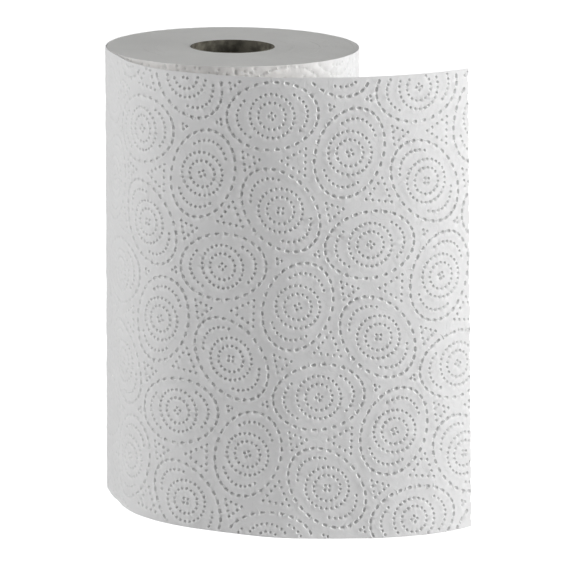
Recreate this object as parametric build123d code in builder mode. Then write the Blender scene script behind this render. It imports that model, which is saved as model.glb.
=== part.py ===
# Kitchen paper towel roll standing on its end, with one sheet unrolled and standing free.
# Origin on the roll's axis at its lower end face, +Z up along the axis, +X to the right of
# a viewer who stands on the -Y side and faces the loose sheet.
import os
from math import asin, cos, degrees, radians, sin

from build123d import *

# Paper web: its width is the height of the standing roll
web_width = 226.0
roll_radius = 63.0
sheet_caliper = 0.5

# Cardboard tube
core_bore = 40.0
core_wall = 0.8
glue_gap = 0.1

# Where the loose sheet leaves the outermost turn, and how far it still clings to the roll
peel_angle = 197.8
cling_length = 3.5

# Loose sheet: a flat start, then panels of one length, each turning by its own angle, and a
# flat end. The bottom and the top edge bend differently over the same lengths, but turn by
# the same angle in all, so both ends are flat.
flat_length = 19.2
panel_length = 28.2
end_flat_length = 3.0
bottom_edge_turns = (27.9, 19.9, 3.9, 20.7, 3.8, 15.6, 22.0)
top_edge_turns = (18.1, 28.5, 8.7, 20.7, 9.1, 14.4, 14.3)

# Torn edge: the slits of the perforation leave shallow notches between the torn ties
tear_pitch = 9.0
tear_notch_width = 3.0
tear_notch_depth = 0.8

# Turns seen on both end faces: one spiral groove, its turns crowded towards the outside
groove_turns = 6
groove_crowding = 0.5
groove_width = 0.4
groove_depth = 0.6
groove_core_margin = 2.0

core_outer_radius = core_bore / 2 + core_wall
paper_bore_radius = core_outer_radius + glue_gap


def polar(angle, distance):
    """Point at an angle in degrees and a distance from the roll's axis."""
    return Vector(cos(radians(angle)) * distance, sin(radians(angle)) * distance)


def half_turn(start_angle, start_distance, end_distance, skipped=0.0):
    """Half a turn of a spiral, as one arc from a distance to the distance opposite."""
    centre = polar(start_angle, (start_distance - end_distance) / 2)
    radius = (start_distance + end_distance) / 2
    return CenterArc(centre, radius, start_angle + skipped, 180.0 - skipped)


def sheet_face_line(start, depth, edge_turns):
    """Tangent arcs along the loose sheet, at a depth below its outer face."""
    point = start
    heading = peel_heading
    for turn in edge_turns:
        radius = panel_length / radians(turn) - depth
        panel = JernArc(point, polar(heading, 1.0), radius, turn)
        point = panel @ 1
        heading += turn
    end_flat = Line(point, point + polar(heading, end_flat_length))
    return end_flat @ 1


def groove_distances():
    """Distance of the turn groove from the axis after each half turn inwards."""
    outer = roll_radius - sheet_caliper
    inner = paper_bore_radius + groove_core_margin
    half_turns = 2 * groove_turns
    distances = []
    for count in range(half_turns + 1):
        share = count / half_turns
        eased = share * (1 - groove_crowding) + share**2 * groove_crowding
        distances.append(outer - (outer - inner) * eased)
    return distances


# The sheet leaves the outermost turn along its tangent
peel_heading = peel_angle + 90.0
peel_outer = polar(peel_angle, roll_radius)
peel_inner = polar(peel_angle, roll_radius - sheet_caliper)
flat_outer = peel_outer + polar(peel_heading, flat_length)
flat_inner = peel_inner + polar(peel_heading, flat_length)

# One turn of the spiral outline, from under the sheet round to where the sheet leaves
inner_distance = roll_radius - sheet_caliper
middle_distance = roll_radius - sheet_caliper / 2
cling_angle = degrees(asin(cling_length / ((inner_distance + middle_distance) / 2)))

with BuildPart() as towel_paper:
    # Wound web with the flat start of the loose sheet
    with BuildSketch(Plane.XY):
        with BuildLine():
            under_sheet = half_turn(peel_angle, inner_distance, middle_distance, cling_angle)
            half_turn(peel_angle + 180.0, middle_distance, roll_radius)
            Line(peel_outer, flat_outer)
            Line(flat_outer, flat_inner)
            cling_line = Line(flat_inner, peel_inner + polar(peel_heading, cling_length))
            Line(cling_line @ 1, under_sheet @ 0)
        make_face()
        Circle(paper_bore_radius, mode=Mode.SUBTRACT)
    extrude(amount=web_width)

    # Loose sheet, ruled between its bottom edge and its differently bent top edge
    end_points = []
    for level, edge_turns in ((0.0, bottom_edge_turns), (web_width, top_edge_turns)):
        with BuildSketch(Plane.XY.offset(level)):
            with BuildLine():
                outer_end = sheet_face_line(flat_outer, 0.0, edge_turns)
                inner_end = sheet_face_line(flat_inner, sheet_caliper, edge_turns)
                Line(flat_outer, flat_inner)
                Line(outer_end, inner_end)
            make_face()
        end_points.append((outer_end + inner_end) / 2 + Vector(0, 0, level))
    loft(ruled=True)

    # Notches of the torn perforation, cut square through the sheet along its free end
    bottom_end, top_end = end_points
    free_edge = top_end - bottom_end
    end_heading = peel_heading + sum(bottom_edge_turns)
    tear_plane = Plane(
        origin=(bottom_end + top_end) / 2,
        x_dir=free_edge,
        z_dir=free_edge.cross(polar(end_heading, 1.0)),
    )
    notch_count = int(web_width / tear_pitch)
    with BuildSketch(tear_plane):
        with GridLocations(tear_pitch, 0.0, notch_count, 1):
            Rectangle(tear_notch_width, 2 * tear_notch_depth)
    extrude(amount=2 * sheet_caliper, both=True, mode=Mode.SUBTRACT)

    # Turns in each end face
    distances = groove_distances()
    for level, cut in ((0.0, groove_depth), (web_width, -groove_depth)):
        with BuildSketch(Plane.XY.offset(level)):
            with BuildLine():
                for wall in (0.0, groove_width):
                    for index in range(1, len(distances)):
                        half_turn(
                            peel_angle - 180.0 * index,
                            distances[index] - wall,
                            distances[index - 1] - wall,
                        )
                for index in (0, len(distances) - 1):
                    angle = peel_angle - 180.0 * index
                    outer_wall = distances[index]
                    Line(polar(angle, outer_wall), polar(angle, outer_wall - groove_width))
            make_face()
        extrude(amount=cut, mode=Mode.SUBTRACT)
towel_paper.part.label = "towel_paper"

# Cardboard tube that the web is wound on, cut off level with the paper
with BuildPart() as core_tube:
    with BuildSketch(Plane.XY):
        Circle(core_outer_radius)
        Circle(core_bore / 2, mode=Mode.SUBTRACT)
    extrude(amount=web_width)
core_tube.part.label = "core_tube"

os.makedirs("parts", exist_ok=True)
export_step(towel_paper.part, "parts/towel_paper.step")
export_step(core_tube.part, "parts/core_tube.step")
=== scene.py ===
import math
import random

import bmesh
import bpy
from mathutils import Matrix, Vector, geometry, kdtree, noise


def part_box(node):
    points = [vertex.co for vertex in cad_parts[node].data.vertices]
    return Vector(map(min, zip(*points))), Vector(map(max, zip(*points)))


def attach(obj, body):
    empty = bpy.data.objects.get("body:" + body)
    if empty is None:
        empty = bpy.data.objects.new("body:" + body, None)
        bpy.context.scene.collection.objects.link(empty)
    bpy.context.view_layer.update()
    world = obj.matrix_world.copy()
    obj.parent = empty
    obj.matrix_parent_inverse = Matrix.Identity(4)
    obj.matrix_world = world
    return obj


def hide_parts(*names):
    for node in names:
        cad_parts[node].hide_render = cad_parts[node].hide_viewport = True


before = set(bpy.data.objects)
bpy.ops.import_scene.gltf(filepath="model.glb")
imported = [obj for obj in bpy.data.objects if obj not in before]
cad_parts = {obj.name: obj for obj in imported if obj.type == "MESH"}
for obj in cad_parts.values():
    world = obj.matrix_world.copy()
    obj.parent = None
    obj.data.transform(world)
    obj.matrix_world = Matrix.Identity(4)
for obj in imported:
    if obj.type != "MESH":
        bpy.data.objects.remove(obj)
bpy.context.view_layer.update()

mm = 0.001
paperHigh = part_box("towel_paper")[1]
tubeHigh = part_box("core_tube")[1]

# The web is the long strip of tissue. Places on it are (along, up): along is measured on the
# outer face from the line where the loose sheet leaves the roll, positive on the loose sheet
# and negative back round the roll.
web = {
    "width": paperHigh.z,
    "rollRadius": 63.0 * mm,
    "caliper": 0.5 * mm,
    "peelAngle": math.radians(197.8),
    "flatLength": 19.2 * mm,
    "panelLength": 28.2 * mm,
    "endFlatLength": 3.0 * mm,
    "bottomTurns": (27.9, 19.9, 3.9, 20.7, 3.8, 15.6, 22.0),  # degrees, panel by panel
    "topTurns": (18.1, 28.5, 8.7, 20.7, 9.1, 14.4, 14.3),
}
web["sheetLength"] = (
    web["flatLength"] + len(web["topTurns"]) * web["panelLength"] + web["endFlatLength"]
)


def edgeLine(turns):
    # start of each stretch of one long edge of the loose sheet: along, place, heading, turn per metre
    heading = web["peelAngle"] + math.pi / 2
    place = web["rollRadius"] * Vector((math.cos(web["peelAngle"]), math.sin(web["peelAngle"])))
    stretches = [(0.0, place.copy(), heading, 0.0)]
    place += web["flatLength"] * Vector((math.cos(heading), math.sin(heading)))
    along = web["flatLength"]
    for turn in turns:
        angle = math.radians(turn)
        stretches.append((along, place.copy(), heading, angle / web["panelLength"]))
        chord = 2 * web["panelLength"] / angle * math.sin(angle / 2)
        middle = heading + angle / 2
        place += chord * Vector((math.cos(middle), math.sin(middle)))
        heading += angle
        along += web["panelLength"]
    stretches.append((along, place.copy(), heading, 0.0))
    return stretches


def onEdge(stretches, along):
    # place and heading on one long edge
    start, place, heading, bend = [s for s in stretches if s[0] <= max(along, 0.0)][-1]
    run = along - start
    if bend == 0:
        return place + run * Vector((math.cos(heading), math.sin(heading))), heading
    chord = 2 / bend * math.sin(run * bend / 2)
    middle = heading + run * bend / 2
    return place + chord * Vector((math.cos(middle), math.sin(middle))), heading + run * bend


bottomEdge = edgeLine(web["bottomTurns"])
topEdge = edgeLine(web["topTurns"])


def bendSheet(along, up, height):
    # a flat place on the loose sheet, and its height over the outer face, bent into the room
    share = up / web["width"]
    low, lowHeading = onEdge(bottomEdge, along)
    high, highHeading = onEdge(topEdge, along)
    heading = lowHeading + (highHeading - lowHeading) * share
    place = low + (high - low) * share + height * Vector((math.sin(heading), -math.cos(heading)))
    return Vector((place.x, place.y, up))


def bendTurn(along, up, height):
    # the same for the outermost turn, which winds in by one caliper over its length
    angle = along / (web["rollRadius"] - web["caliper"] / 2)
    radius = web["rollRadius"] + web["caliper"] * angle / (2 * math.pi) + height
    angle += web["peelAngle"]
    return Vector((radius * math.cos(angle), radius * math.sin(angle), up))


# Emboss: dotted rings in dashed ovals, with triangles of dots in the gaps between the ovals.
# One cell of three ovals and six triangles is repeated over the whole web.
emboss = {
    "cellDown": Vector((46.68, -62.27)) * mm,
    "cellUp": Vector((25.18, 74.46)) * mm,
    "firstCell": Vector((117.6, 207.55)) * mm,
    "ovals": (  # place in the cell, and tilt in degrees
        (Vector((0.0, 0.0)) * mm, 9.0),
        (Vector((3.75, -45.25)) * mm, 129.0),
        (Vector((11.65, -92.15)) * mm, 69.0),
    ),
    "dashes": {"long": 22.1 * mm, "short": 16.1 * mm, "count": 28, "reach": 0.55 * mm},
    "arcs": {"long": 16.95 * mm, "short": 12.2 * mm, "count": 9, "spread": 45.0},
    "rings": ((1.55 * mm, 4), (6.45 * mm, 16), (10.5 * mm, 26)),
    "triangles": (  # place in the cell, side, turn in degrees, and dots along a side
        (Vector((-11.2, -21.8)) * mm, 8.8 * mm, 7.5, 4),
        (Vector((11.8, -21.6)) * mm, 12.9 * mm, 177.5, 5),
        (Vector((2.7, -70.0)) * mm, 2.4 * mm, 8.0, 2),
        (Vector((21.1, -66.4)) * mm, 2.3 * mm, 190.0, 2),
        (Vector((3.4, -120.0)) * mm, 8.7 * mm, 11.0, 4),
        (Vector((26.2, -111.9)) * mm, 12.7 * mm, 202.0, 5),
    ),
    "cellReach": 16,  # cells tried to each side of the first one
    "cellSide": 60.0 * mm,  # how far past the web's edges a cell's first oval may lie
    "cellAbove": 200.0 * mm,
    "leastPitch": 2.0 * mm,
    "edgeMargin": 0.8 * mm,
    "edgePitch": 1.5 * mm,
}
frontRelief = {
    "depth": 0.8 * mm,
    "lift": 0.2 * mm,
    "lean": 0.9,  # how much more the shoulder rises on the lower left of a mark
    "leanTurn": 225.0,
    "easeLength": 100.0 * mm,  # marks are fainter on the stretch next to the line where the sheet leaves
    "easeShare": 0.3,
    "tone": 1.0,  # how strongly the marks carry painted shade and painted highlight
    "crease": 0.14 * mm,
    "creaseReach": 1.25 * mm,
    "puff": 0.02 * mm,
    "floorRadius": 0.26 * mm,
    "floorPoints": 5,
    "rimRadius": 0.95 * mm,
    "rimPoints": 8,
    "dashPoints": 3,  # more points round a dash than round a dot
    # painted shade in the crease past each end of a dash
    "paintedCreaseShade": 0.3,
    "depthSpread": (0.85, 1.1),
    "radiusSpread": (0.95, 1.05),
    "fillPitch": 2.0 * mm,
    "fillGap": 0.8 * mm,
    "fillJitter": 0.2,  # mm
    "puffReach": 2.0 * mm,
    "startMargin": 1.0 * mm,
    "endMargin": 1.8 * mm,
}
# the other face of the sheet has a low bump behind each mark, which some of the pits cross, with weaker
# painted shade and highlight
backRelief = {
    **frontRelief,
    "depth": -0.55 * mm,
    "lift": 0.0,
    "tone": 0.3,
    "floorRadius": 0.0,
    "rimPoints": 6,
    "fillPitch": 2.8 * mm,
}
# the marks on the roll are shallower than those on the loose sheet, with weaker painted shade and
# highlight
turnRelief = {
    **frontRelief,
    "depth": 0.42 * mm,
    "lift": 0.12 * mm,
    "easeShare": 0.57,
    "tone": 0.525,
    "floorPoints": 4,
    "rimPoints": 7,
    "fillPitch": 2.6 * mm,
}
# the inner face of the outermost turn has few points, and some pits and wrinkles cross it
hiddenRelief = {**frontRelief, "puff": 0.0, "fillPitch": 9.0 * mm}
wrinkle = {"wide": 10.0 * mm, "fine": 4.5 * mm, "height": 0.3 * mm, "fineShare": 0.35}
tear = {
    "pitch": 9.0 * mm,
    "notchWidth": 3.0 * mm,
    "notchDepth": 0.6 * mm,
    "notchSpread": 0.1,  # mm
    "fuzz": 0.2 * mm,
    "step": 0.6 * mm,
}
mergeTolerance = 1e-7


def turned(x, y, angle):
    cosine, sine = math.cos(angle), math.sin(angle)
    return Vector((x * cosine - y * sine, x * sine + y * cosine))


def ovalMarks(centre, tilt):
    # marks of one medallion: place, direction and half length of each dot or dash
    marks = []
    for radius, count in emboss["rings"]:
        for i in range(count):
            marks.append((centre + turned(radius, 0, tilt + 2 * math.pi * i / count), 0.0, 0.0))
    arcs = emboss["arcs"]
    for end in (0, math.pi):
        for i in range(arcs["count"]):
            a = end + math.radians(arcs["spread"]) * (2 * i / (arcs["count"] - 1) - 1)
            local = (arcs["long"] * math.cos(a), arcs["short"] * math.sin(a))
            marks.append((centre + turned(*local, tilt), 0.0, 0.0))
    dashes = emboss["dashes"]
    for i in range(dashes["count"]):
        a = 2 * math.pi * i / dashes["count"]
        local = (dashes["long"] * math.cos(a), dashes["short"] * math.sin(a))
        run = math.atan2(dashes["short"] * math.cos(a), -dashes["long"] * math.sin(a))
        marks.append((centre + turned(*local, tilt), run + tilt, dashes["reach"]))
    return marks


def triangleMarks(centre, side, turn, count):
    # dots along the three sides of a triangle
    corners = [centre + turned(side / math.sqrt(3), 0, turn + 2 * math.pi * i / 3) for i in range(3)]
    marks = []
    for i in range(3):
        for k in range(count - 1):
            marks.append((corners[i].lerp(corners[i - 1], k / (count - 1)), 0.0, 0.0))
    return marks


def pressedMarks(alongLow, alongHigh):
    # every mark of the emboss on one stretch of web
    marks = []
    reach = range(-emboss["cellReach"], emboss["cellReach"] + 1)
    side = emboss["cellSide"]
    for i in reach:
        for j in reach:
            cell = emboss["firstCell"] + i * emboss["cellDown"] + j * emboss["cellUp"]
            alongFits = alongLow - side < cell.x < alongHigh + side
            upFits = -side < cell.y < web["width"] + emboss["cellAbove"]
            if not (alongFits and upFits):
                continue
            for step, tilt in emboss["ovals"]:
                marks += ovalMarks(cell + step, math.radians(tilt))
            for step, length, turn, count in emboss["triangles"]:
                marks += triangleMarks(cell + step, length, math.radians(turn), count)
    # marks that crowd an earlier one, or reach over the web's edges, are left out
    kept = []
    cells = {}
    margin = emboss["edgeMargin"]
    pitch = emboss["leastPitch"]
    for mark in marks:
        place = mark[0]
        alongFits = alongLow + margin < place.x < alongHigh - margin
        upFits = margin < place.y < web["width"] - margin
        if not (alongFits and upFits):
            continue
        cell = (int(place.x // pitch), int(place.y // pitch))
        near = []
        for dx in (-1, 0, 1):
            for dy in (-1, 0, 1):
                near += cells.get((cell[0] + dx, cell[1] + dy), [])
        if any((m[0] - place).length < pitch for m in near):
            continue
        cells.setdefault(cell, []).append(mark)
        kept.append(mark)
    return kept


def wrinkleHeight(along, up):
    # soft unevenness of the whole web
    wide = noise.noise(Vector((along, up, 0.0)) / wrinkle["wide"])
    fine = noise.noise(Vector((along, up, 0.1)) / wrinkle["fine"])
    return wrinkle["height"] * (wide + wrinkle["fineShare"] * fine)


def tornEdge(up):
    # how far the torn perforation stands back from the web's end at one height
    fromMiddle = (up - web["width"] / 2) / tear["pitch"]
    if abs(fromMiddle - round(fromMiddle)) * tear["pitch"] < tear["notchWidth"] / 2:
        return tear["notchDepth"] + random.uniform(-tear["notchSpread"], tear["notchSpread"]) * mm
    return random.uniform(0.0, tear["fuzz"])


def rimPlaces(alongLow, alongHigh, torn):
    # corner points round one stretch of web, anticlockwise from its lower start
    acrossCount = round((alongHigh - alongLow) / emboss["edgePitch"])
    upCount = round(web["width"] / emboss["edgePitch"])
    endCount = round(web["width"] / tear["step"]) if torn else upCount
    alongs = [alongLow + (alongHigh - alongLow) * i / acrossCount for i in range(acrossCount + 1)]
    rim = [Vector((x, 0.0)) for x in alongs[:-1]]
    for i in range(endCount):
        up = web["width"] * i / endCount
        rim.append(Vector((alongHigh - (tornEdge(up) if torn and i else 0.0), up)))
    rim += [Vector((x, web["width"])) for x in alongs[:0:-1]]
    rim += [Vector((alongLow, web["width"] * i / upCount)) for i in range(upCount, 0, -1)]
    return rim


def addFace(bm, marks, rim, relief, level):
    # one face of the web, still flat: along, up and height, with the marks pressed in or out
    markShadeAndHighlight = bm.verts.layers.float.get("markShadeAndHighlight") or bm.verts.layers.float.new("markShadeAndHighlight")
    points = []

    def add(place, height, share=0.0):
        points.append((place, height, share))

    for place, run, reach in marks:
        fromRoll = min(1.0, abs(place.x) / relief["easeLength"])
        ease = relief["easeShare"] + (1 - relief["easeShare"]) * fromRoll
        depth = ease * relief["depth"] * random.uniform(*relief["depthSpread"])
        wide = relief["rimRadius"] * random.uniform(*relief["radiusSpread"])
        step = turned(reach, 0, run)
        # strength of this mark's painted shade and painted highlight
        tone = ease * relief["tone"]
        for radius, count, height, share in (
            (relief["floorRadius"], relief["floorPoints"], -depth, tone),
            (wide, relief["rimPoints"], ease * relief["lift"], -tone),
        ):
            if radius == 0:
                for side in (step, -step)[: 2 if reach else 1]:
                    add(place + side, height, share)
                continue
            count += relief["dashPoints"] if reach else 0
            first = random.random()
            for i in range(count):
                a = 2 * math.pi * (i + first) / count
                side = step if math.cos(a) > 0 else -step
                lean = math.cos(a + run - math.radians(relief["leanTurn"]))
                # a share above 0 is painted shade on the pit's floor, a share below 0 is painted
                # highlight on its shoulder, strongest on the lower left
                if share > 0:
                    add(place + side + turned(radius, 0, a + run), height, share)
                else:
                    raised = height * (1 + relief["lean"] * lean)
                    add(place + side + turned(radius, 0, a + run), raised, share * max(0.0, lean))
        # a crease pressed in past each end of a dash, with painted shade
        if reach:
            beyond = turned(reach + relief["creaseReach"], 0, run)
            add(place + beyond, -relief["crease"], relief["paintedCreaseShade"])
    tree = kdtree.KDTree(len(points))
    for i, point in enumerate(points):
        tree.insert((*point[0], 0), i)
    tree.balance()
    # plain tissue between the marks
    low = Vector((min(p.x for p in rim), 0.0))
    high = Vector((max(p.x for p in rim), web["width"]))
    rows = int(web["width"] / (relief["fillPitch"] * 0.866))  # rows of even triangles
    jitter = relief["fillJitter"]
    columns = int((high.x - low.x) / relief["fillPitch"])
    for row in range(1, rows):
        for column in range(1, columns):
            x = low.x + (column + 0.5 * (row % 2)) * (high.x - low.x) / columns
            place = Vector((x, row * web["width"] / rows))
            across, rise = random.uniform(-jitter, jitter), random.uniform(-jitter, jitter)
            place += Vector((across, rise)) * mm
            gap = tree.find((*place, 0))[2] if marks else 1.0
            inside = low.x + relief["startMargin"] < place.x < high.x - relief["endMargin"]
            if gap > relief["fillGap"] and inside:
                add(place, relief["puff"] * min(1.0, gap / relief["puffReach"]))
    first = len(points)
    for place in rim:
        add(place, 0.0)
    rimEdges = [(first + i, first + (i + 1) % len(rim)) for i in range(len(rim))]
    flat = [p[0] for p in points]
    # output type 1 keeps only the triangles inside the rim
    made = geometry.delaunay_2d_cdt(flat, rimEdges, [], 1, mergeTolerance)
    places, faces, sources = made[0], made[2], made[3]
    verts = []
    side = 1 if level == 0 else -1  # the back face looks the other way
    for place, source in zip(places, sources):
        point = points[source[0]]
        vert = bm.verts.new((place.x, place.y, level + side * point[1]))
        vert[markShadeAndHighlight] = point[2]
        verts.append(vert)
    for face in faces:
        bm.faces.new([verts[i] for i in face][::side])


def closeWeb(bm):
    # joins the rims of the two faces, so that the web is one closed sheet
    beyondRim = [v for v in bm.verts if not v.link_faces]
    bmesh.ops.delete(bm, geom=beyondRim, context="VERTS")
    bmesh.ops.bridge_loops(bm, edges=[e for e in bm.edges if e.is_boundary])


def finishPiece(bm, name, body, material, sharpAngle=50):
    mesh = bpy.data.meshes.new(name)
    bm.to_mesh(mesh)
    bm.free()
    piece = bpy.data.objects.new(name, mesh)
    bpy.context.scene.collection.objects.link(piece)
    mesh.materials.append(material)
    mesh.shade_smooth()
    mesh.set_sharp_from_angle(angle=math.radians(sharpAngle))
    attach(piece, body)
    triangles = sum(len(p.vertices) - 2 for p in mesh.polygons)
    print("made", name, triangles, "triangles")
    return piece


# Finishes
def newGroup(name, inputs, outputs):
    group = bpy.data.node_groups.new(name, "ShaderNodeTree")
    for label, kind, value in inputs:
        socket = group.interface.new_socket(label, in_out="INPUT", socket_type=kind)
        socket.default_value = value
    for label, kind in outputs:
        group.interface.new_socket(label, in_out="OUTPUT", socket_type=kind)
    start = group.nodes.new("NodeGroupInput")
    end = group.nodes.new("NodeGroupOutput")
    return group, start, end


def fibreGroup():
    # fine fibres, soft crepe and thin creases of paper: a height and a slow shade
    group, start, end = newGroup(
        "paperFibre",
        (
            ("Fibre Scale", "NodeSocketFloat", 900.0),
            ("Crepe Scale", "NodeSocketFloat", 260.0),
            ("Crepe Share", "NodeSocketFloat", 0.5),
            ("Crease Scale", "NodeSocketFloat", 110.0),
            ("Crease Depth", "NodeSocketFloat", 0.5),
        ),
        (("Height", "NodeSocketFloat"), ("Shade", "NodeSocketFloat")),
    )
    nodes, links = group.nodes, group.links
    place = nodes.new("ShaderNodeTexCoord")
    fibre = nodes.new("ShaderNodeTexNoise")
    fibre.inputs["Detail"].default_value = 4
    stretch = nodes.new("ShaderNodeMapping")
    stretch.inputs["Scale"].default_value = (1.0, 1.0, 0.35)  # crepe lines run up the web
    crepe = nodes.new("ShaderNodeTexNoise")
    crepe.inputs["Detail"].default_value = 3
    mix = nodes.new("ShaderNodeMix")
    links.new(place.outputs["Object"], fibre.inputs["Vector"])
    links.new(place.outputs["Object"], stretch.inputs["Vector"])
    links.new(stretch.outputs["Vector"], crepe.inputs["Vector"])
    links.new(start.outputs["Fibre Scale"], fibre.inputs["Scale"])
    links.new(start.outputs["Crepe Scale"], crepe.inputs["Scale"])
    links.new(start.outputs["Crepe Share"], mix.inputs["Factor"])
    links.new(fibre.outputs["Fac"], mix.inputs["A"])
    links.new(crepe.outputs["Fac"], mix.inputs["B"])
    # a crease runs where a slow noise passes its middle value
    slow = nodes.new("ShaderNodeTexNoise")
    slow.inputs["Detail"].default_value = 2
    slow.inputs["Distortion"].default_value = 0.4
    links.new(place.outputs["Object"], slow.inputs["Vector"])
    links.new(start.outputs["Crease Scale"], slow.inputs["Scale"])
    line = nodes.new("ShaderNodeMapRange")
    line.inputs["From Min"].default_value = 0.5
    line.inputs["From Max"].default_value = 0.54
    line.interpolation_type = "SMOOTHSTEP"
    links.new(slow.outputs["Fac"], line.inputs["Value"])
    fold = nodes.new("ShaderNodeMath")
    fold.operation = "MULTIPLY_ADD"
    links.new(line.outputs["Result"], fold.inputs[0])
    links.new(start.outputs["Crease Depth"], fold.inputs[1])
    links.new(mix.outputs["Result"], fold.inputs[2])
    links.new(fold.outputs["Value"], end.inputs["Height"])
    cloud = nodes.new("ShaderNodeTexNoise")
    cloud.inputs["Scale"].default_value = 60
    links.new(place.outputs["Object"], cloud.inputs["Vector"])
    links.new(cloud.outputs["Fac"], end.inputs["Shade"])
    return group


paperFibre = fibreGroup()

tissueLook = {
    "colour": (0.80, 0.80, 0.80),
    "paintedPitShade": 0.88,  # painted shade: share of the colour on the floor of a mark
    "paintedShoulderHighlight": 1.15,  # painted highlight: share of the colour on the raised shoulder round a mark
    "throughColour": (0.97, 0.955, 0.935),  # where light comes through the loose sheet
    "cloud": (0.96, 1.03),  # slow change of tone over the web
    "roughness": 0.92,
    "specular": 0.2,
    "sheen": 0.1,
    "bump": 0.5,
    "bumpDistance": 0.2 * mm,
}


def tissueMaterial(name, look, marked):
    material = bpy.data.materials.new(name)
    material.use_nodes = True
    nodes, links = material.node_tree.nodes, material.node_tree.links
    shader = nodes["Principled BSDF"]
    shader.inputs["Roughness"].default_value = look["roughness"]
    shader.inputs["Specular IOR Level"].default_value = look["specular"]
    shader.inputs["Sheen Weight"].default_value = look["sheen"]
    fibre = nodes.new("ShaderNodeGroup")
    fibre.node_tree = paperFibre
    cloud = nodes.new("ShaderNodeMapRange")
    cloud.inputs["To Min"].default_value = look["cloud"][0]
    cloud.inputs["To Max"].default_value = look["cloud"][1]
    links.new(fibre.outputs["Shade"], cloud.inputs["Value"])
    factor = cloud.outputs["Result"]
    if marked:
        # painted shade on the floors of the marks and in the creases, and painted highlight on their
        # shoulders, read from each point
        depth = nodes.new("ShaderNodeAttribute")
        depth.attribute_name = "markShadeAndHighlight"
        mark = nodes.new("ShaderNodeMapRange")
        mark.inputs["From Min"].default_value = -1.0
        mark.inputs["To Min"].default_value = look["paintedShoulderHighlight"]
        mark.inputs["To Max"].default_value = look["paintedPitShade"]
        links.new(depth.outputs["Fac"], mark.inputs["Value"])
        both = nodes.new("ShaderNodeMath")
        both.operation = "MULTIPLY"
        links.new(cloud.outputs["Result"], both.inputs[0])
        links.new(mark.outputs["Result"], both.inputs[1])
        factor = both.outputs["Value"]
    tone = nodes.new("ShaderNodeMix")
    tone.data_type = "RGBA"
    tone.blend_type = "MULTIPLY"
    tone.inputs["Factor"].default_value = 1.0
    paper = nodes.new("ShaderNodeMix")
    paper.data_type = "RGBA"
    paper.inputs[6].default_value = (*look["colour"], 1)
    paper.inputs[7].default_value = (*look["throughColour"], 1)
    through = nodes.new("ShaderNodeAttribute")
    through.attribute_name = "behind"
    links.new(through.outputs["Fac"], paper.inputs["Factor"])
    links.new(paper.outputs[2], tone.inputs[6])
    links.new(factor, tone.inputs[7])
    links.new(tone.outputs[2], shader.inputs["Base Color"])
    bump = nodes.new("ShaderNodeBump")
    bump.inputs["Strength"].default_value = look["bump"]
    bump.inputs["Distance"].default_value = look["bumpDistance"]
    links.new(fibre.outputs["Height"], bump.inputs["Height"])
    links.new(bump.outputs["Normal"], shader.inputs["Normal"])
    return material


tissue = tissueMaterial("embossedTissue", tissueLook, True)
cutTissue = tissueMaterial("cutTissue", {**tissueLook, "colour": (0.82, 0.82, 0.80)}, False)


# Loose sheet
def makeLooseSheet():
    random.seed(7)
    marks = pressedMarks(0.0, web["sheetLength"])
    rim = rimPlaces(0.0, web["sheetLength"], True)
    bm = bmesh.new()
    addFace(bm, marks, rim, frontRelief, 0.0)
    addFace(bm, marks, rim, backRelief, -web["caliper"])
    closeWeb(bm)
    for vert in bm.verts:
        along, up, height = vert.co
        vert.co = bendSheet(along, up, height + wrinkleHeight(along, up))
    bmesh.ops.recalc_face_normals(bm, faces=bm.faces[:])
    print("loose sheet has", len(marks), "marks")
    return finishPiece(bm, "loose_sheet", "root", tissue, sharpAngle=38)


looseSheet = makeLooseSheet()
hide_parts("towel_paper")


# Outermost turn. Light comes through the loose sheet, so the paper behind it looks paler
turnCover = {"clear": 135.0, "fade": 40.0}


def makeOuterTurn():
    random.seed(11)
    turnLength = 2 * math.pi * (web["rollRadius"] - web["caliper"] / 2)
    marks = pressedMarks(-turnLength, 0.0)
    rim = rimPlaces(-turnLength, 0.0, False)
    bm = bmesh.new()
    addFace(bm, marks, rim, turnRelief, 0.0)
    addFace(bm, [], rim, hiddenRelief, -web["caliper"])
    closeWeb(bm)
    behind = bm.verts.layers.float.new("behind")
    for vert in bm.verts:
        along, up, height = vert.co
        vert.co = bendTurn(along, up, height + wrinkleHeight(along, up))
        past = 360 * (along / turnLength + 1)  # degrees from where the sheet covers this turn
        vert[behind] = min(max((turnCover["clear"] - past) / turnCover["fade"], 0.0), 1.0)
    bmesh.ops.recalc_face_normals(bm, faces=bm.faces[:])
    print("outer turn has", len(marks), "marks")
    return finishPiece(bm, "outer_turn", "root", tissue)


makeOuterTurn()


# Turns inside the roll, seen on both end faces
turnsLook = {
    "turns": 90,
    "steps": 160,
    "boreGap": 0.1 * mm,
    "outerShare": 1.05,  # of a caliper, below the roll's outer face
    "ridge": 0.05 * mm,
    "ridgeScale": 2.3,
    "groove": 0.09 * mm,
    "wave": 0.6 * mm,
    "waveSize": 30.0 * mm,
    "waveEase": 0.2,  # share of the end face over which the wave dies out at each rim
    "inset": 0.1 * mm,
    "mergeDistance": 0.01 * mm,
}


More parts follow.
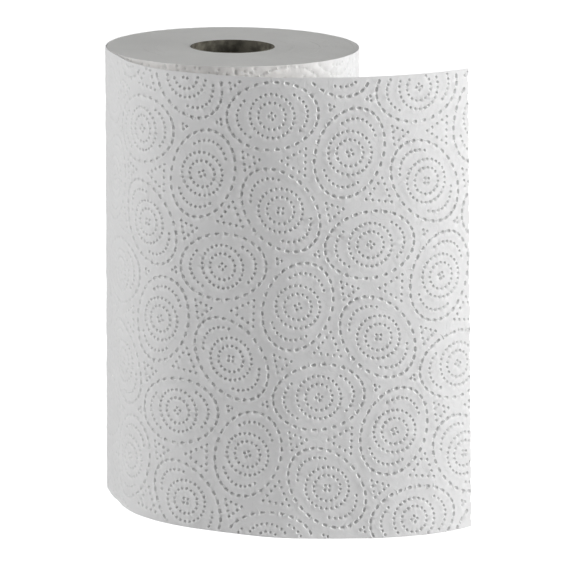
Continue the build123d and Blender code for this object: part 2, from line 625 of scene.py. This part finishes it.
def makeWoundTurns():
    bore = tubeHigh.x + turnsLook["boreGap"]
    outer = web["rollRadius"] - turnsLook["outerShare"] * web["caliper"]
    turns = turnsLook["turns"]
    bm = bmesh.new()
    bmesh.ops.create_grid(bm, x_segments=turnsLook["steps"], y_segments=2 * turns, size=0.5)
    for vert in bm.verts:
        around = vert.co.x + 0.5
        row = round((vert.co.y + 0.5) * 2 * turns)
        wound = row / 2 + around - 0.5  # turns from the tube, one spiral
        share = min(max(wound / turns, 0.0), 1.0)
        radius = bore + (outer - bore) * share
        angle = web["peelAngle"] + 2 * math.pi * around
        height = 0.0
        if 0 < share < 1:
            height = turnsLook["ridge"] * noise.noise(Vector((turnsLook["ridgeScale"] * wound, 0.0, 0.0)))
            height -= turnsLook["groove"] * (row % 2)
        place = Vector((radius * math.cos(angle), radius * math.sin(angle), 0.0))
        ease = min(share, 1 - share, turnsLook["waveEase"]) / turnsLook["waveEase"]
        height -= turnsLook["wave"] * ease * abs(noise.noise(place / turnsLook["waveSize"]))
        vert.co = place + Vector((0.0, 0.0, height))
    bmesh.ops.remove_doubles(bm, verts=bm.verts[:], dist=turnsLook["mergeDistance"])
    top = bm.verts[:]
    made = bmesh.ops.duplicate(bm, geom=bm.verts[:] + bm.edges[:] + bm.faces[:])
    for vert in top:
        vert.co.z += web["width"] - turnsLook["inset"]
    for vert in [g for g in made["geom"] if isinstance(g, bmesh.types.BMVert)]:
        vert.co.z = turnsLook["inset"] - vert.co.z
    rims = [e for e in bm.edges if e.is_boundary]
    half = (bore + outer) / 2
    for inside in (True, False):
        loops = [e for e in rims if (e.verts[0].co.xy.length < half) == inside]
        bmesh.ops.bridge_loops(bm, edges=loops)
    bmesh.ops.recalc_face_normals(bm, faces=bm.faces[:])
    return finishPiece(bm, "wound_turns", "root", cutTissue, sharpAngle=60)


makeWoundTurns()


# Cardboard tube
tubeLook = {
    "colour": (0.19, 0.178, 0.142),
    "darkColour": (0.08, 0.075, 0.059),
    "roughness": 0.85,
    "specular": 0.25,
    "bump": 0.3,
    "bumpDistance": 0.2 * mm,
    "fibreScale": 500.0,
    "crepeScale": 150.0,
    "patchScale": 230.0,
    "patchEdges": (0.38, 0.62),
    "seamPitch": 68.0 * mm,
    "seamWidth": 0.02,  # of the pitch
}


def boardMaterial():
    material = bpy.data.materials.new("greyBoard")
    material.use_nodes = True
    nodes, links = material.node_tree.nodes, material.node_tree.links
    shader = nodes["Principled BSDF"]
    shader.inputs["Roughness"].default_value = tubeLook["roughness"]
    shader.inputs["Specular IOR Level"].default_value = tubeLook["specular"]
    fibre = nodes.new("ShaderNodeGroup")
    fibre.node_tree = paperFibre
    fibre.inputs["Fibre Scale"].default_value = tubeLook["fibreScale"]
    fibre.inputs["Crepe Scale"].default_value = tubeLook["crepeScale"]
    fibre.inputs["Crease Depth"].default_value = 0.0
    place = nodes.new("ShaderNodeTexCoord")
    patches = nodes.new("ShaderNodeTexNoise")
    patches.inputs["Scale"].default_value = tubeLook["patchScale"]
    patches.inputs["Detail"].default_value = 5
    links.new(place.outputs["Object"], patches.inputs["Vector"])
    mottle = nodes.new("ShaderNodeMapRange")
    mottle.inputs["From Min"].default_value = tubeLook["patchEdges"][0]
    mottle.inputs["From Max"].default_value = tubeLook["patchEdges"][1]
    links.new(patches.outputs["Fac"], mottle.inputs["Value"])
    # butt joint of the board's ply, which runs round the tube as one spiral
    split = nodes.new("ShaderNodeSeparateXYZ")
    links.new(place.outputs["Object"], split.inputs["Vector"])
    around = nodes.new("ShaderNodeMath")
    around.operation = "ARCTAN2"
    links.new(split.outputs["Y"], around.inputs[0])
    links.new(split.outputs["X"], around.inputs[1])
    turn = nodes.new("ShaderNodeMath")
    turn.operation = "MULTIPLY"
    turn.inputs[1].default_value = 1 / (2 * math.pi)
    links.new(around.outputs["Value"], turn.inputs[0])
    wound = nodes.new("ShaderNodeMath")
    wound.operation = "MULTIPLY_ADD"
    wound.inputs[1].default_value = 1 / tubeLook["seamPitch"]
    links.new(split.outputs["Z"], wound.inputs[0])
    links.new(turn.outputs["Value"], wound.inputs[2])
    nearest = nodes.new("ShaderNodeMath")
    nearest.operation = "PINGPONG"
    nearest.inputs[1].default_value = 0.5
    links.new(wound.outputs["Value"], nearest.inputs[0])
    seam = nodes.new("ShaderNodeMath")
    seam.operation = "LESS_THAN"
    seam.inputs[1].default_value = tubeLook["seamWidth"] / 2
    links.new(nearest.outputs["Value"], seam.inputs[0])
    worn = nodes.new("ShaderNodeMath")
    worn.operation = "SUBTRACT"
    worn.use_clamp = True
    links.new(mottle.outputs["Result"], worn.inputs[0])
    links.new(seam.outputs["Value"], worn.inputs[1])
    base = nodes.new("ShaderNodeMix")
    base.data_type = "RGBA"
    base.inputs[6].default_value = (*tubeLook["darkColour"], 1)
    base.inputs[7].default_value = (*tubeLook["colour"], 1)
    links.new(worn.outputs["Value"], base.inputs[0])
    links.new(base.outputs[2], shader.inputs["Base Color"])
    bump = nodes.new("ShaderNodeBump")
    bump.inputs["Strength"].default_value = tubeLook["bump"]
    bump.inputs["Distance"].default_value = tubeLook["bumpDistance"]
    links.new(fibre.outputs["Height"], bump.inputs["Height"])
    links.new(bump.outputs["Normal"], shader.inputs["Normal"])
    return material


board = boardMaterial()
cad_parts["core_tube"].data.materials.clear()
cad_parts["core_tube"].data.materials.append(board)


# Room
roomLook = {
    "floorHalf": 6.0,
    "floorDrop": 0.2 * mm,
    "floorColour": (0.8, 0.8, 0.8),
    "floorGlow": 0.9,  # only as the camera sees it
    "worldLight": 0.08,
}


def seenDirectly(nodes, links):
    # 1 where the camera looks, also through a mirror or glass, and 0 for light on the roll
    path = nodes.new("ShaderNodeLightPath")
    either = nodes.new("ShaderNodeMath")
    either.operation = "MAXIMUM"
    links.new(path.outputs["Is Camera Ray"], either.inputs[0])
    links.new(path.outputs["Is Glossy Ray"], either.inputs[1])
    anyOfThem = nodes.new("ShaderNodeMath")
    anyOfThem.operation = "MAXIMUM"
    links.new(either.outputs[0], anyOfThem.inputs[0])
    links.new(path.outputs["Is Transmission Ray"], anyOfThem.inputs[1])
    return anyOfThem.outputs[0]


def makeFloor():
    bm = bmesh.new()
    bmesh.ops.create_grid(bm, x_segments=1, y_segments=1, size=roomLook["floorHalf"])
    mesh = bpy.data.meshes.new("floor")
    bm.to_mesh(mesh)
    bm.free()
    floor = bpy.data.objects.new("floor", mesh)
    bpy.context.scene.collection.objects.link(floor)
    floor.location.z = -roomLook["floorDrop"]
    material = bpy.data.materials.new("paleFloor")
    material.use_nodes = True
    nodes, links = material.node_tree.nodes, material.node_tree.links
    shader = nodes["Principled BSDF"]
    shader.inputs["Base Color"].default_value = (*roomLook["floorColour"], 1)
    shader.inputs["Roughness"].default_value = 1.0
    shader.inputs["Emission Color"].default_value = (1, 1, 1, 1)
    strength = nodes.new("ShaderNodeMath")
    strength.operation = "MULTIPLY"
    strength.inputs[1].default_value = roomLook["floorGlow"]
    links.new(seenDirectly(nodes, links), strength.inputs[0])
    links.new(strength.outputs[0], shader.inputs["Emission Strength"])
    mesh.materials.append(material)


def makeWorld():
    world = bpy.data.worlds.new("studio")
    bpy.context.scene.world = world
    world.use_nodes = True
    nodes, links = world.node_tree.nodes, world.node_tree.links
    level = nodes.new("ShaderNodeMapRange")
    level.inputs["To Min"].default_value = roomLook["worldLight"]
    level.inputs["To Max"].default_value = 1.0
    links.new(seenDirectly(nodes, links), level.inputs["Value"])
    links.new(level.outputs["Result"], nodes["Background"].inputs["Strength"])
    nodes["Background"].inputs["Color"].default_value = (1, 1, 1, 1)


lamps = (
    {"name": "rightSoftbox", "place": (2.34, -0.72, 0.65), "size": 1.0, "power": 51.5},
    {"name": "leftSoftbox", "place": (-2.3, -0.42, 0.85), "size": 1.6, "power": 35.5},
    {"name": "topSoftbox", "place": (0.1, -0.6, 1.5), "size": 0.7, "power": 2.0},
)
lampAim = Vector((20.0, 0.0, 110.0)) * mm


def makeLamps():
    for lamp in lamps:
        data = bpy.data.lights.new(lamp["name"], "AREA")
        data.shape = "SQUARE"
        data.size = lamp["size"]
        data.energy = lamp["power"]
        thing = bpy.data.objects.new(lamp["name"], data)
        bpy.context.scene.collection.objects.link(thing)
        thing.location = lamp["place"]
        aim = lampAim - thing.location
        thing.rotation_mode = "QUATERNION"
        thing.rotation_quaternion = aim.to_track_quat("-Z", "Y")


view = {
    "place": (26.89 * mm, -1700 * mm, 495.7 * mm),
    "down": 12.954,  # degrees
    "roll": 0.462,
    "focalPixels": 3462.5,
    "imagePixels": 570,
}


def makeCamera():
    data = bpy.data.cameras.new("photoCamera")
    data.sensor_width = 36
    data.lens = view["focalPixels"] / view["imagePixels"] * data.sensor_width
    data.clip_start = 0.05
    camera = bpy.data.objects.new("photoCamera", data)
    bpy.context.scene.collection.objects.link(camera)
    tilt = Matrix.Rotation(math.radians(90 - view["down"]), 4, "X")
    roll = Matrix.Rotation(math.radians(view["roll"]), 4, "Z")
    camera.matrix_world = Matrix.Translation(view["place"]) @ tilt @ roll
    bpy.context.scene.camera = camera


makeFloor()
makeWorld()
makeLamps()
makeCamera()
bpy.context.scene.view_settings.view_transform = "Standard"
print("room, lamps and camera are in place")
